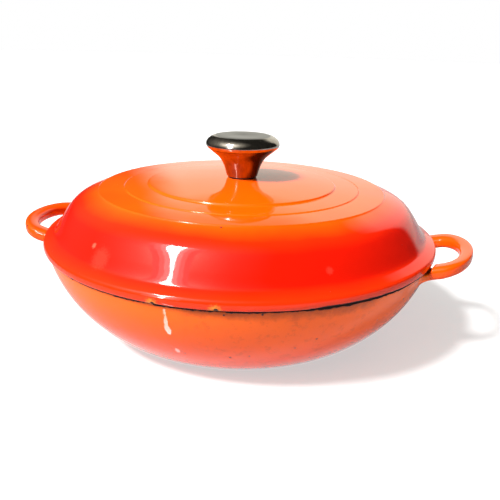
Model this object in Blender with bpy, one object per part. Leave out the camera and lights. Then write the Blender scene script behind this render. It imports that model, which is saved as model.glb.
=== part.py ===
"""Cast iron casserole with a lift-off domed lid: a shallow Dutch oven, modelled as it comes apart.

The pot is one casting with a loop handle on each side. The lid is a second casting that rests on the
pot's ground rim. Its hollow steel knob is two pressed shells round a threaded insert, held from below
by one screw with a spring washer and a flat washer, and a thin washer keeps it off the enamel.

Frame: origin on the table under the pot's centre, +Z up, the handles along X.
"""

import math

import bmesh
import bpy

MM = 0.001

# Driving dimensions
GAP = 0.3 * MM                   # clearance between pieces that touch on the real object
SEAM_Z = 71.0 * MM               # where the lid's rim meets the pot's rim
POT_WALL = 3.6 * MM              # iron and enamel together
POT_FLOOR = 4.2 * MM
LID_WALL = 3.4 * MM
POT_RIM_RADIUS = 154.2 * MM
LID_RIM_RADIUS = 157.5 * MM
FOOT_RADIUS = 95.0 * MM          # outer edge of the flat the pot stands on
HANDLE_TIP = 185.6 * MM          # from the pot's axis to the end of a handle
KNOB_RADIUS = 29.4 * MM
KNOB_TOP = 85.0 * MM             # above the seam, so the whole stands 156 mm high

# Pot
FOOT_INNER_RADIUS = 78.0 * MM    # inside this the underside is relieved
FOOT_RELIEF = 0.8 * MM
WALL_START = (22.0 * MM, 6.2 * MM)      # pull of the wall's curve as it leaves the foot
WALL_END = (7.6 * MM, 34.5 * MM)        # pull of the wall's curve as it reaches the rim
FLOOR_FLAT = 77.0 * MM           # the floor is flat inside this radius
CORNER_TOP = 4.0 * MM            # above the floor, where the corner's curve meets the wall
CORNER_PULLS = ((9.0 * MM, 5.2 * MM), 14.0 * MM)   # down the wall, and out along the floor
THROAT = 8.0 * MM                # the wall's inside starts this far under the rim
RIM_ROUND = 1.2 * MM
RIM_WIDTH = 7.0 * MM             # the ground land that carries the lid

# Handles
HANDLE_OUTER = (160.5 * MM, 45.0 * MM)  # where the outer ellipse starts, and its half width
HANDLE_INNER = (161.0 * MM, 29.6 * MM)  # the same for the finger hole
HANDLE_HOLE_TIP = 175.6 * MM
HANDLE_ROOT_TOP = -0.8 * MM      # above the seam, at the wall under the lid's rim
HANDLE_STEP_TOP = 3.2 * MM       # above the seam, just clear of the lid's rim
HANDLE_TIP_TOP = 10.0 * MM       # above the seam
HANDLE_ROOT_BOTTOM = -9.6 * MM   # above the seam, the underside at the wall
HANDLE_TIP_BOTTOM = 0.2 * MM     # above the seam
HANDLE_HOLE_TILT = 1.8 * MM      # how much the underside rises towards the finger hole
HANDLE_STEP = (2.4 * MM, 5.8 * MM)      # from the wall: where the step up begins and ends
HANDLE_SQUARENESS = 3.2          # exponent of the bar's rounded section
OUTER_FILLET = 6.5 * MM
INNER_FILLET = 7.0 * MM
LOWER_FILLET = 4.0 * MM
ROOT_STATIONS = (-1.5 * MM, 0.2 * MM, 1.2 * MM, 2.6 * MM, 4.2 * MM, 6.0 * MM, 8.4 * MM)

# Lid
BEAD_FOOT = LID_RIM_RADIUS - 3.0 * MM   # where the rim's bead leaves the landing
BEAD_SIDE = (LID_RIM_RADIUS, 4.0 * MM)  # its widest place
BEAD_LOWER_PULLS = ((LID_RIM_RADIUS - 0.9 * MM, 0.3 * MM), (LID_RIM_RADIUS, 1.6 * MM))
BEAD_UPPER_PULLS = ((LID_RIM_RADIUS, 6.0 * MM), (LID_RIM_RADIUS - 0.6 * MM, 7.1 * MM))
LIP_TOP = (155.6 * MM, 7.8 * MM)        # where the rim's bead turns into the flange
FLANGE_FOOT = (149.7 * MM, 10.9 * MM)   # the straight flange ends in a soft crease here
CREASE_PULLS = ((147.5 * MM, 12.1 * MM), (144.9 * MM, 17.3 * MM))
FLANGE_TOP = (142.8 * MM, 20.7 * MM)    # where the crease turns into the dome
DOME_PULLS = ((133.3 * MM, 35.8 * MM), (131.9 * MM, 34.9 * MM))
SHOULDER = (115.6 * MM, 41.9 * MM)      # where the dome meets the outermost step
STEPS = (                        # outer radius of each raised disc, and its edge's height above the seam
    (114.5 * MM, 43.1 * MM),
    (94.0 * MM, 44.9 * MM),
    (75.1 * MM, 47.4 * MM),
)
STEP_ROUND = 1.0 * MM            # the discs' rounded edges
TREAD_SLOPE = 0.06               # each disc rises towards the centre
PLATEAU_CENTRE = 51.0 * MM       # the innermost disc is crowned up to this height
SKIRT_OUTER = 145.4 * MM         # ridge under the lid that keeps it centred in the pot
SKIRT_INNER = 140.6 * MM
SKIRT_DEPTH = 4.5 * MM
SKIRT_CHAMFER = 1.0 * MM
SKIRT_LEAD = 1.6 * MM            # slope that leads the skirt into the pot
SKIRT_ROOT = 9.0 * MM            # height where the skirt runs into the flange
STEP_SHIFT = 2.0 * MM            # the steps lie this much further in on the underside
SCREW_HOLE = 3.3 * MM
BOSS_RADIUS = 13.0 * MM          # flat pad under the lid for the washers
BOSS_BOTTOM = 46.0 * MM
BOSS_DRAFT = 2.0 * MM

# Knob
KNOB_FOOT_RADIUS = 12.4 * MM
KNOB_WALL = 1.2 * MM
STEM_PULLS = ((15.9 * MM, 67.8 * MM), (20.1 * MM, 68.0 * MM))
KNOB_SEAM = (27.2 * MM, 74.4 * MM)      # where the cap meets the stem shell
CAP_OVERHANG = 0.3 * MM          # the cap's lower edge stands this much outside the stem shell
CAP_PULLS = ((KNOB_RADIUS + 2.2 * MM, 77.2 * MM), (KNOB_RADIUS - 0.6 * MM, 83.3 * MM))
CROWN = (22.0 * MM, KNOB_TOP - 0.4 * MM)    # where the cap's side turns into its top
CROWN_PULLS = ((18.0 * MM, KNOB_TOP + 0.3 * MM), (12.0 * MM, KNOB_TOP - 0.1 * MM))
CAP_CENTRE = KNOB_TOP - 0.7 * MM    # the top is slightly dished
SPIGOT_RISE = 2.2 * MM           # how far the stem shell reaches up inside the cap
WASHER_SEAT_THICKNESS = 0.7 * MM
SEAT_WASHER_RADIUS = 11.4 * MM
INSERT_RADIUS = 7.5 * MM
INSERT_HEIGHT = 17.0 * MM
INSERT_CHAMFER = 1.0 * MM
INSERT_FLANGE = 2.2 * MM         # thickness of the flange that the stem shell is crimped round
THREAD_RADIUS = 3.0 * MM
THREAD_LEAD = 0.6 * MM           # countersink at the thread's mouth
THREAD_CLEARANCE = 2.0 * MM      # the blind hole goes this much deeper than the screw
DRILL_POINT = 1.6 * MM

# Fasteners
FLAT_WASHER_RADIUS = 8.0 * MM
FLAT_WASHER_THICKNESS = 1.4 * MM
FLAT_WASHER_CHAMFER = 0.3 * MM
SPRING_WASHER_RADIUS = 5.6 * MM
SPRING_WASHER_THICKNESS = 1.5 * MM
SPRING_WASHER_SPREAD = 0.5 * MM  # how far the cut ends stand apart in height
SPRING_WASHER_CUT = math.radians(14)
SCREW_HEAD_RADIUS = 5.8 * MM
SCREW_HEAD_HEIGHT = 3.4 * MM
SCREW_HEAD_SIDE = 1.8 * MM       # height of the head's straight side
SCREW_POINT = (0.7 * MM, 0.8 * MM)      # chamfer at the screw's end, across and along
SCREW_SHANK_RADIUS = THREAD_RADIUS - GAP
SCREW_REACH = 11.0 * MM          # length engaged in the insert
RECESS_DEPTH = 1.9 * MM
RECESS_ARM = (2.9 * MM, 0.55 * MM)      # half length and half width of each arm of the cross
RECESS_TAPER = 0.45              # the arms are this much shorter at the bottom of the recess

# Facets
CASTING_SEGMENTS = 60
KNOB_SEGMENTS = 32
SMALL_SEGMENTS = 20
WALL_STEPS = 10
DOME_STEPS = 7
HANDLE_BENDS = 14
HANDLE_SIDES = 12


def bezier(start, pull_start, pull_end, end, steps):
    """Points along a cubic curve, the last one left out."""
    points = []
    for i in range(steps):
        t = i / steps
        a, b, c, d = (1 - t) ** 3, 3 * (1 - t) ** 2 * t, 3 * (1 - t) * t ** 2, t ** 3
        points.append(tuple(a * p + b * q + c * r + d * s
                            for p, q, r, s in zip(start, pull_start, pull_end, end)))
    return points


def arc(centre, radius, from_deg, to_deg, steps):
    """Points along a round stretch, both ends included."""
    points = []
    for i in range(steps + 1):
        angle = math.radians(from_deg + (to_deg - from_deg) * i / steps)
        points.append((centre[0] + radius * math.cos(angle), centre[1] + radius * math.sin(angle)))
    return points


def offset(points, distance):
    """The same run of points moved sideways, to the right of the way it runs."""
    moved = []
    for i, point in enumerate(points):
        before, after = points[max(i - 1, 0)], points[min(i + 1, len(points) - 1)]
        along = (after[0] - before[0], after[1] - before[1])
        length = math.hypot(*along)
        moved.append((point[0] + along[1] / length * distance, point[1] - along[0] / length * distance))
    return moved


def raised(points, height):
    return [(radius, z + height) for radius, z in points]


def material(name, colour, roughness, metallic):
    made = bpy.data.materials.new(name)
    made.use_nodes = True
    shader = made.node_tree.nodes["Principled BSDF"]
    shader.inputs["Base Color"].default_value = (*colour, 1.0)
    shader.inputs["Roughness"].default_value = roughness
    shader.inputs["Metallic"].default_value = metallic
    return made


def add_object(name, bm, finish):
    bmesh.ops.recalc_face_normals(bm, faces=bm.faces)
    mesh = bpy.data.meshes.new(name)
    bm.to_mesh(mesh)
    bm.free()
    mesh.shade_smooth()
    mesh.set_sharp_from_angle(angle=math.radians(35))
    made = bpy.data.objects.new(name, mesh)
    bpy.context.scene.collection.objects.link(made)
    if finish:
        made.data.materials.append(finish)
    return made


def turned(name, outline, segments, finish, closed=True):
    """Spins an outline of (radius, height) points about Z. An open outline starts and ends on the axis."""
    bm = bmesh.new()
    verts = [bm.verts.new((radius, 0, z)) for radius, z in outline]
    pairs = list(zip(verts, verts[1:]))
    if closed:
        pairs.append((verts[-1], verts[0]))
    edges = [bm.edges.new(pair) for pair in pairs]
    bmesh.ops.spin(bm, geom=verts + edges, cent=(0, 0, 0), axis=(0, 0, 1), angle=2 * math.pi,
                   steps=segments, use_merge=True, use_duplicate=False)
    bmesh.ops.remove_doubles(bm, verts=bm.verts, dist=0.005 * MM)
    return add_object(name, bm, finish)


def boolean(target, tool, operation):
    modifier = target.modifiers.new(tool.name, "BOOLEAN")
    modifier.operation = operation
    modifier.object = tool
    modifier.solver = "EXACT"
    tool.hide_render = True
    tool.display_type = "WIRE"


def pot_wall(steps):
    """The pot's outer side from the foot to just under the rim."""
    foot, top = (FOOT_RADIUS, 0.0), (POT_RIM_RADIUS, SEAM_Z - GAP / 2 - RIM_ROUND)
    return bezier(foot, (foot[0] + WALL_START[0], WALL_START[1]),
                  (top[0] - WALL_END[0], top[1] - WALL_END[1]), top, steps)


def pot_radius(z):
    """The outer radius of the pot at a height."""
    wall = pot_wall(60)
    for lower, upper in zip(wall, wall[1:]):
        if lower[1] <= z <= upper[1]:
            share = (z - lower[1]) / (upper[1] - lower[1])
            return lower[0] + (upper[0] - lower[0]) * share
    return POT_RIM_RADIUS


def pot_outline():
    rim_z = SEAM_Z - GAP / 2
    outside = pot_wall(WALL_STEPS)
    rim_centre = (POT_RIM_RADIUS - RIM_ROUND, rim_z - RIM_ROUND)
    outer_round = arc(rim_centre, RIM_ROUND, 0, 90, 3)
    inner_rim = POT_RIM_RADIUS - RIM_WIDTH
    inner_round = arc((inner_rim + RIM_ROUND, rim_z - RIM_ROUND), RIM_ROUND, 90, 180, 2)
    inside = [point for point in offset(outside, -POT_WALL)
              if POT_FLOOR + CORNER_TOP < point[1] < rim_z - THROAT]
    (pull_in, pull_down), pull_out = CORNER_PULLS
    floor_edge = bezier(inside[0], (inside[0][0] - pull_in, inside[0][1] - pull_down),
                        (FLOOR_FLAT + pull_out, POT_FLOOR), (FLOOR_FLAT, POT_FLOOR), 4)[1:]
    return ([(0, FOOT_RELIEF), (FOOT_INNER_RADIUS - FOOT_RELIEF, FOOT_RELIEF), (FOOT_INNER_RADIUS, 0)]
            + outside + outer_round + inner_round + inside[::-1] + floor_edge
            + [(FLOOR_FLAT, POT_FLOOR), (0, POT_FLOOR)])


def fillet(radius, distance):
    """How much a bar is widened at a distance from the wall that it grows out of."""
    if distance >= radius:
        return 0.0
    reach = radius - max(distance, 0.0)
    return radius - math.sqrt(radius ** 2 - reach ** 2)


def share_of(value, start, end):
    return min(max((value - start) / (end - start), 0.0), 1.0)


def handle_top(distance):
    """Height of a handle's upper face: it steps up outside the lid's rim, then lifts towards the tip."""
    step = share_of(distance, *HANDLE_STEP)
    step = step * step * (3 - 2 * step)
    lift = share_of(distance, HANDLE_STEP[1], HANDLE_TIP - POT_RIM_RADIUS)
    return (SEAM_Z + HANDLE_ROOT_TOP + (HANDLE_STEP_TOP - HANDLE_ROOT_TOP) * step
            + (HANDLE_TIP_TOP - HANDLE_STEP_TOP) * lift)


def handle_bottom(distance):
    """Height of a handle's underside, which rises evenly from the wall to the tip."""
    lift = share_of(distance, 0.0, HANDLE_TIP - POT_RIM_RADIUS)
    return SEAM_Z + HANDLE_ROOT_BOTTOM + (HANDLE_TIP_BOTTOM - HANDLE_ROOT_BOTTOM) * lift


def section_points(count):
    """A rounded bar section as (across, up), each from -1 to 1."""
    points = []
    for i in range(count):
        angle = 2 * math.pi * (i + 0.5) / count
        c, s = math.cos(angle), math.sin(angle)
        power = 2 / HANDLE_SQUARENESS
        points.append((math.copysign(abs(c) ** power, c), math.copysign(abs(s) ** power, s)))
    return points


def handle_ring(inner, outer, section):
    """One section of the loop, between a point on the finger hole and one on the outside, in plan."""
    ring = []
    for across, up in section:
        share = (across + 1) / 2
        x = inner[0] + (outer[0] - inner[0]) * share
        y = inner[1] + (outer[1] - inner[1]) * share
        distance = math.hypot(x, y) - POT_RIM_RADIUS
        top = handle_top(distance)
        bottom = handle_bottom(distance) + HANDLE_HOLE_TILT * (1 - share)
        ring.append((x, y, top - (top - bottom) * (1 - up) / 2))
    return ring


def root_ring(distance, side, section):
    """One section of an arm close to the wall, where fillets widen and deepen it."""
    outward, inward = fillet(OUTER_FILLET, distance), fillet(INNER_FILLET, distance)
    low, high = HANDLE_INNER[1] - inward, HANDLE_OUTER[1] + outward
    ring = []
    for across, up in section:
        share = (across + 1) / 2
        y = side * (low + (high - low) * share)
        top = handle_top(distance)
        bottom = handle_bottom(distance) + HANDLE_HOLE_TILT * (1 - share) - fillet(LOWER_FILLET, distance)
        z = top - (top - bottom) * (1 - up) / 2
        radius = pot_radius(z)
        ring.append((math.sqrt(radius ** 2 - y ** 2) + distance, y, z))
    return ring


def handle_rings():
    """The loop's sections from one root, round the tip, to the other root."""
    section = section_points(HANDLE_SIDES)
    rings = [root_ring(distance, -1, section) for distance in ROOT_STATIONS]
    for i in range(HANDLE_BENDS + 1):
        angle = math.pi * (i / HANDLE_BENDS - 0.5)
        c, s = math.cos(angle), math.sin(angle)
        outer = (HANDLE_OUTER[0] + (HANDLE_TIP - HANDLE_OUTER[0]) * c, HANDLE_OUTER[1] * s)
        inner = (HANDLE_INNER[0] + (HANDLE_HOLE_TIP - HANDLE_INNER[0]) * c, HANDLE_INNER[1] * s)
        rings.append(handle_ring(inner, outer, section))
    rings += [root_ring(distance, 1, section) for distance in reversed(ROOT_STATIONS)]
    return rings


def handle(name, direction):
    bm = bmesh.new()
    loops = [[bm.verts.new((direction * x, y, z)) for x, y, z in ring] for ring in handle_rings()]
    count = len(loops[0])
    for here, there in zip(loops, loops[1:]):
        for i in range(count):
            j = (i + 1) % count
            bm.faces.new((here[i], here[j], there[j], there[i]))
    bm.faces.new(loops[0])
    bm.faces.new(loops[-1])
    return add_object(name, bm, None)


def pot_body(finish):
    body = turned("pot_body", pot_outline(), CASTING_SEGMENTS, finish, closed=False)
    for name, direction in (("handle_right", 1), ("handle_left", -1)):
        boolean(body, handle(name, direction), "UNION")
    return body


def lid_dome(steps):
    """The lid's outside from the rim's bead, up the flange and the dome, to the outermost step."""
    crease = bezier(FLANGE_FOOT, *CREASE_PULLS, FLANGE_TOP, steps // 2)
    dome = bezier(FLANGE_TOP, *DOME_PULLS, SHOULDER, steps)
    return [LIP_TOP] + crease + dome + [SHOULDER]


def lid_steps():
    """The shallow raised discs on the lid's top, each with a rounded edge."""
    points = []
    for index, (radius, height) in enumerate(STEPS):
        points += arc((radius - STEP_ROUND, height - STEP_ROUND), STEP_ROUND, 15, 90, 2)
        if index + 1 < len(STEPS):
            foot = STEPS[index + 1][0] + STEP_ROUND
            points.append((foot, height + (radius - foot) * TREAD_SLOPE))
    crown = STEPS[-1][0]
    for share in (0.66, 0.33):
        points.append((crown * share, PLATEAU_CENTRE - (PLATEAU_CENTRE - STEPS[-1][1]) * share ** 2))
    return points


def lid_outline():
    seat = GAP / 2
    bead = (bezier((BEAD_FOOT, seat), *BEAD_LOWER_PULLS, BEAD_SIDE, 3)
            + bezier(BEAD_SIDE, *BEAD_UPPER_PULLS, LIP_TOP, 3))
    outside = lid_dome(DOME_STEPS)
    under = [point for point in offset(outside, -LID_WALL) if point[1] > SKIRT_ROOT]
    skirt = [(SKIRT_INNER, SKIRT_CHAMFER), (SKIRT_INNER, -SKIRT_DEPTH + SKIRT_CHAMFER),
             (SKIRT_INNER + SKIRT_CHAMFER, -SKIRT_DEPTH), (SKIRT_OUTER - SKIRT_LEAD, -SKIRT_DEPTH),
             (SKIRT_OUTER, -SKIRT_DEPTH + SKIRT_LEAD), (SKIRT_OUTER, seat)]
    underside = ([(SCREW_HOLE, BOSS_BOTTOM), (BOSS_RADIUS, BOSS_BOTTOM),
                  (BOSS_RADIUS + BOSS_DRAFT, PLATEAU_CENTRE - LID_WALL)]
                 + [(radius - STEP_SHIFT, height - LID_WALL) for radius, height in reversed(STEPS)]
                 + under[::-1])
    outline = bead + outside + lid_steps() + [(SCREW_HOLE, PLATEAU_CENTRE)] + underside + skirt
    return raised(outline, SEAM_Z)


def lid(finish):
    return turned("lid", lid_outline(), CASTING_SEGMENTS, finish)


def knob_side(steps):
    """The outside of the knob's stem shell, from its foot to the seam under the cap."""
    foot = PLATEAU_CENTRE + 2 * GAP + WASHER_SEAT_THICKNESS
    return bezier((KNOB_FOOT_RADIUS, foot), *STEM_PULLS, KNOB_SEAM, steps)


def knob_gasket(finish):
    low = PLATEAU_CENTRE + GAP
    high = low + WASHER_SEAT_THICKNESS
    outline = [(SCREW_HOLE, low), (SEAT_WASHER_RADIUS, low), (SEAT_WASHER_RADIUS, high), (SCREW_HOLE, high)]
    return turned("knob_gasket", raised(outline, SEAM_Z), KNOB_SEGMENTS, finish)


def knob_stem(finish):
    side = knob_side(9)
    spigot = KNOB_SEAM[0] - KNOB_WALL - GAP
    inside = offset(side, -KNOB_WALL)
    top = KNOB_SEAM[1] + SPIGOT_RISE
    outline = (side + [KNOB_SEAM, (spigot, KNOB_SEAM[1] + GAP), (spigot, top),
                       (spigot - KNOB_WALL, top), (spigot - KNOB_WALL, KNOB_SEAM[1])]
               + inside[:0:-1] + [(side[0][0] - KNOB_WALL, side[0][1])])
    return turned("knob_stem", raised(outline, SEAM_Z), KNOB_SEGMENTS, finish)


def knob_cap(finish):
    lower = (KNOB_SEAM[0] + CAP_OVERHANG, KNOB_SEAM[1] + GAP)
    side = bezier(lower, *CAP_PULLS, CROWN, 9)
    top = bezier(CROWN, *CROWN_PULLS, (0.0, CAP_CENTRE), 5)
    inside = offset(side + top, -KNOB_WALL)
    lip = (lower[0] - KNOB_WALL, lower[1] + GAP)
    outline = [(0.0, CAP_CENTRE - KNOB_WALL)] + inside[:0:-1] + [lip] + side + top + [(0.0, CAP_CENTRE)]
    return turned("knob_cap", raised(outline, SEAM_Z), KNOB_SEGMENTS, finish, closed=False)


def knob_insert(finish):
    low = PLATEAU_CENTRE + 2 * GAP + WASHER_SEAT_THICKNESS
    flange = KNOB_FOOT_RADIUS - KNOB_WALL - GAP
    depth = low + SCREW_REACH + THREAD_CLEARANCE
    top = low + INSERT_HEIGHT
    outline = [(0, top), (INSERT_RADIUS - INSERT_CHAMFER, top), (INSERT_RADIUS, top - INSERT_CHAMFER),
               (INSERT_RADIUS, low + INSERT_FLANGE), (flange, low + INSERT_FLANGE), (flange, low),
               (THREAD_RADIUS + THREAD_LEAD, low), (THREAD_RADIUS, low + THREAD_LEAD),
               (THREAD_RADIUS, depth - DRILL_POINT), (0, depth)]
    return turned("knob_insert", raised(outline, SEAM_Z), SMALL_SEGMENTS, finish, closed=False)


def lid_washer(finish):
    high = BOSS_BOTTOM - GAP
    low = high - FLAT_WASHER_THICKNESS
    outline = [(SCREW_HOLE, low), (FLAT_WASHER_RADIUS - FLAT_WASHER_CHAMFER, low),
               (FLAT_WASHER_RADIUS, low + FLAT_WASHER_CHAMFER), (FLAT_WASHER_RADIUS, high),
               (SCREW_HOLE, high)]
    return turned("lid_washer", raised(outline, SEAM_Z), SMALL_SEGMENTS, finish)


def spring_washer_top():
    return SEAM_Z + BOSS_BOTTOM - 2 * GAP - FLAT_WASHER_THICKNESS


def spring_washer(finish):
    """A split ring whose cut ends stand a little apart in height, pressed nearly flat."""
    high = spring_washer_top()
    height = SPRING_WASHER_THICKNESS - SPRING_WASHER_SPREAD
    bm = bmesh.new()
    rings = []
    for i in range(SMALL_SEGMENTS + 1):
        share = i / SMALL_SEGMENTS
        angle = SPRING_WASHER_CUT / 2 + (2 * math.pi - SPRING_WASHER_CUT) * share
        top = high - SPRING_WASHER_SPREAD * share
        corners = ((SCREW_HOLE, top - height), (SPRING_WASHER_RADIUS, top - height),
                   (SPRING_WASHER_RADIUS, top), (SCREW_HOLE, top))
        rings.append([bm.verts.new((r * math.cos(angle), r * math.sin(angle), z)) for r, z in corners])
    for here, there in zip(rings, rings[1:]):
        for i in range(4):
            j = (i + 1) % 4
            bm.faces.new((here[i], here[j], there[j], there[i]))
    bm.faces.new(rings[0])
    bm.faces.new(rings[-1])
    return add_object("spring_washer", bm, finish)


def lid_screw(finish):
    seat = spring_washer_top() - SPRING_WASHER_THICKNESS - GAP
    bottom = seat - SCREW_HEAD_HEIGHT
    tip = SEAM_Z + PLATEAU_CENTRE + 2 * GAP + WASHER_SEAT_THICKNESS + SCREW_REACH
    across, along = SCREW_POINT
    dome = arc((0, bottom + SCREW_HEAD_RADIUS * 2), SCREW_HEAD_RADIUS * 2, 270, 296, 4)
    outline = dome + [(SCREW_HEAD_RADIUS, seat - SCREW_HEAD_SIDE), (SCREW_HEAD_RADIUS, seat),
                      (SCREW_SHANK_RADIUS, seat), (SCREW_SHANK_RADIUS, tip - along),
                      (SCREW_SHANK_RADIUS - across, tip), (0, tip)]
    screw = turned("lid_screw", outline, SMALL_SEGMENTS, finish, closed=False)
    for index, angle in enumerate((0.0, math.pi / 2)):
        boolean(screw, recess_arm(index, angle, bottom), "DIFFERENCE")
    return screw


def recess_arm(index, angle, bottom):
    """One bar of the cross-shaped driver recess, with ends that slope inwards."""
    length, width = RECESS_ARM
    bm = bmesh.new()
    bmesh.ops.create_cube(bm, size=2.0)
    for vert in bm.verts:
        inside = vert.co.z > 0
        x, y = vert.co.x * length * (RECESS_TAPER if inside else 1.0), vert.co.y * width
        vert.co = (x * math.cos(angle) - y * math.sin(angle), x * math.sin(angle) + y * math.cos(angle),
                   bottom + (RECESS_DEPTH if inside else -RECESS_DEPTH / 2))
    return add_object(f"recess_cutter_{index}", bm, None)


def main():
    for old in list(bpy.data.objects):
        bpy.data.objects.remove(old, do_unlink=True)
    enamel = material("orange_enamel", (0.80, 0.13, 0.015), 0.15, 0.0)
    lid_enamel = material("red_enamel", (0.78, 0.045, 0.012), 0.12, 0.0)
    steel = material("polished_steel", (0.66, 0.64, 0.61), 0.12, 1.0)
    plated = material("plated_steel", (0.58, 0.58, 0.57), 0.3, 1.0)
    fibre = material("black_washer", (0.02, 0.02, 0.02), 0.6, 0.0)
    pot_body(enamel)
    carrier = lid_washer(plated)
    turning = [lid(lid_enamel), knob_gasket(fibre), knob_stem(steel), knob_cap(steel),
               knob_insert(plated), spring_washer(plated), lid_screw(plated)]
    for piece in turning:
        piece.parent = carrier


main()
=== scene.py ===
"""Looks of the cast iron casserole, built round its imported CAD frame.

Both castings and the knob's two shells are turned again at a fine resolution from the same outlines as
the CAD, the loop handles grow out of the wall through soft fillets, and every surface gets a procedural
finish: fired enamel outside, cream enamel inside, ground black rims, and polished steel.
"""

import math

import bmesh
import bpy
from mathutils import Matrix, Vector


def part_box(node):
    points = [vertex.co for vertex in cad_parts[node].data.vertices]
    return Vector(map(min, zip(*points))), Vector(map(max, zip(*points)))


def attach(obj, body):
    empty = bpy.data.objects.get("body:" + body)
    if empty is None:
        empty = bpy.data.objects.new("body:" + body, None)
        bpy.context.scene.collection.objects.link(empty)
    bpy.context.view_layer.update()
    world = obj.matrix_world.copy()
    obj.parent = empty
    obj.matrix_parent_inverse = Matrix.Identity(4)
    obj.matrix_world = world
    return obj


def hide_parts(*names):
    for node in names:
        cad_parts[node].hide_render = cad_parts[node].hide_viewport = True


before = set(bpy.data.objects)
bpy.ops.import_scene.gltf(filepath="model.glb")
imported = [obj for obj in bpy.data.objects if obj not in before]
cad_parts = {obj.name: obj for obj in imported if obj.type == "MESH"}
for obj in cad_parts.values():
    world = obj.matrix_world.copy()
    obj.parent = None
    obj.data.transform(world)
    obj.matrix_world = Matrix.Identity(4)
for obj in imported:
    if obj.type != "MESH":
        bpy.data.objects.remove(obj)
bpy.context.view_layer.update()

MM = 0.001

# Driving dimensions, from the frame where it has them
GAP = 0.3 * MM                   # clearance between pieces that touch on the real object
SKIRT_DEPTH = 4.5 * MM           # the ridge under the lid reaches this far below the seam
SEAM_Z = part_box("lid")[0].z + SKIRT_DEPTH
LID_RIM_RADIUS = round(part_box("lid")[1].x / MM, 1) * MM
HANDLE_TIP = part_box("pot_body")[1].x
KNOB_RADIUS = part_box("knob_cap")[1].x
KNOB_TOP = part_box("knob_cap")[1].z - SEAM_Z

# Pot
POT_RIM_RADIUS = LID_RIM_RADIUS - 3.3 * MM
POT_WALL = 3.6 * MM              # iron and enamel together
POT_FLOOR = 4.2 * MM
FOOT_RADIUS = 95.0 * MM          # outer edge of the flat the pot stands on
FOOT_INNER_RADIUS = 78.0 * MM    # inside this the underside is relieved
FOOT_RELIEF = 0.8 * MM
UNDERSIDE_RINGS = (0.0, 25.0 * MM, 52.0 * MM, FOOT_INNER_RADIUS - 2 * FOOT_RELIEF)
WALL_START = (22.0 * MM, 6.2 * MM)      # pull of the wall's curve as it leaves the foot
WALL_END = (7.6 * MM, 34.5 * MM)        # pull of the wall's curve as it reaches the rim
FLOOR_FLAT = 77.0 * MM           # the floor is flat inside this radius
FLOOR_RINGS = (FLOOR_FLAT, 45.0 * MM, 15.0 * MM, 0.0)
CORNER_TOP = 4.0 * MM            # above the floor, where the corner's curve meets the wall
CORNER_PULLS = ((9.0 * MM, 5.2 * MM), 14.0 * MM)   # down the wall, and out along the floor
THROAT = 8.0 * MM                # the wall's inside starts this far under the rim
THROAT_PULLS = (4.0 * MM, (0.6 * MM, 4.0 * MM))    # below the rim, and above the wall's start
RIM_ROUND = 1.2 * MM
RIM_WIDTH = 7.0 * MM             # the ground land that carries the lid

# Handles
HANDLE_OUTER = (160.5 * MM, 45.0 * MM)  # where the outer ellipse starts, and its half width
HANDLE_INNER = (161.0 * MM, 29.6 * MM)  # the same for the finger hole
HANDLE_HOLE_TIP = 175.6 * MM
HANDLE_ROOT_TOP = -0.8 * MM      # above the seam, at the wall under the lid's rim
HANDLE_STEP_TOP = 3.2 * MM       # above the seam, just clear of the lid's rim
HANDLE_TIP_TOP = 10.0 * MM       # above the seam
HANDLE_ROOT_BOTTOM = -9.6 * MM   # above the seam, the underside at the wall
HANDLE_TIP_BOTTOM = 0.2 * MM     # above the seam
HANDLE_HOLE_TILT = 1.8 * MM      # how much the underside rises towards the finger hole
HANDLE_STEP = (2.4 * MM, 5.8 * MM)      # from the wall: where the step up begins and ends
HANDLE_SQUARENESS = 3.2          # exponent of the bar's rounded section
OUTER_FILLET = 6.5 * MM
INNER_FILLET = 7.0 * MM
LOWER_FILLET = 4.0 * MM
ROOT_DEPTH = 1.5 * MM            # how far a handle's end is sunk into the wall
ROOT_START = 0.05 * MM           # from the wall: where the sections of a root begin
ROOT_LENGTH = 8.2 * MM           # and how far out they go

# Lid
BEAD_FOOT = LID_RIM_RADIUS - 3.0 * MM   # where the rim's bead leaves the landing
BEAD_SIDE = (LID_RIM_RADIUS, 4.0 * MM)  # its widest place
BEAD_LOWER_PULLS = ((LID_RIM_RADIUS - 0.9 * MM, 0.3 * MM), (LID_RIM_RADIUS, 1.6 * MM))
BEAD_UPPER_PULLS = ((LID_RIM_RADIUS, 6.0 * MM), (LID_RIM_RADIUS - 0.6 * MM, 7.1 * MM))
LIP_TOP = (155.6 * MM, 7.8 * MM)        # where the rim's bead turns into the flange
FLANGE_FOOT = (149.7 * MM, 10.9 * MM)   # the straight flange ends in a soft crease here
CREASE_PULLS = ((147.5 * MM, 12.1 * MM), (144.9 * MM, 17.3 * MM))
FLANGE_TOP = (142.8 * MM, 20.7 * MM)    # where the crease turns into the dome
DOME_PULLS = ((133.3 * MM, 35.8 * MM), (131.9 * MM, 34.9 * MM))
SHOULDER = (115.6 * MM, 41.9 * MM)      # where the dome meets the outermost step
STEPS = (                        # outer radius of each raised disc, and its edge's height above the seam
    (114.5 * MM, 43.1 * MM),
    (94.0 * MM, 44.9 * MM),
    (75.1 * MM, 47.4 * MM),
)
STEP_ROUND = 1.0 * MM            # the discs' rounded edges
STEP_ROUND_ARC = (22, 87)        # degrees
STEP_HOLLOW = 0.9 * MM           # the hollow at the foot of each step
STEP_HOLLOW_ARC = (270, 215)     # degrees
STEP_LEAN = 0.15 * MM            # how far a step's foot lies outside its edge
TREAD_SLOPE = 0.06               # each disc rises towards the centre
PLATEAU_CENTRE = 51.0 * MM       # the innermost disc is crowned up to this height
CROWN_CENTRE = 1.0 * MM          # the crown stops this far from the screw hole
LID_WALL = 3.4 * MM
SKIRT_OUTER = 145.4 * MM         # ridge under the lid that keeps it centred in the pot
SKIRT_INNER = 140.6 * MM
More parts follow.
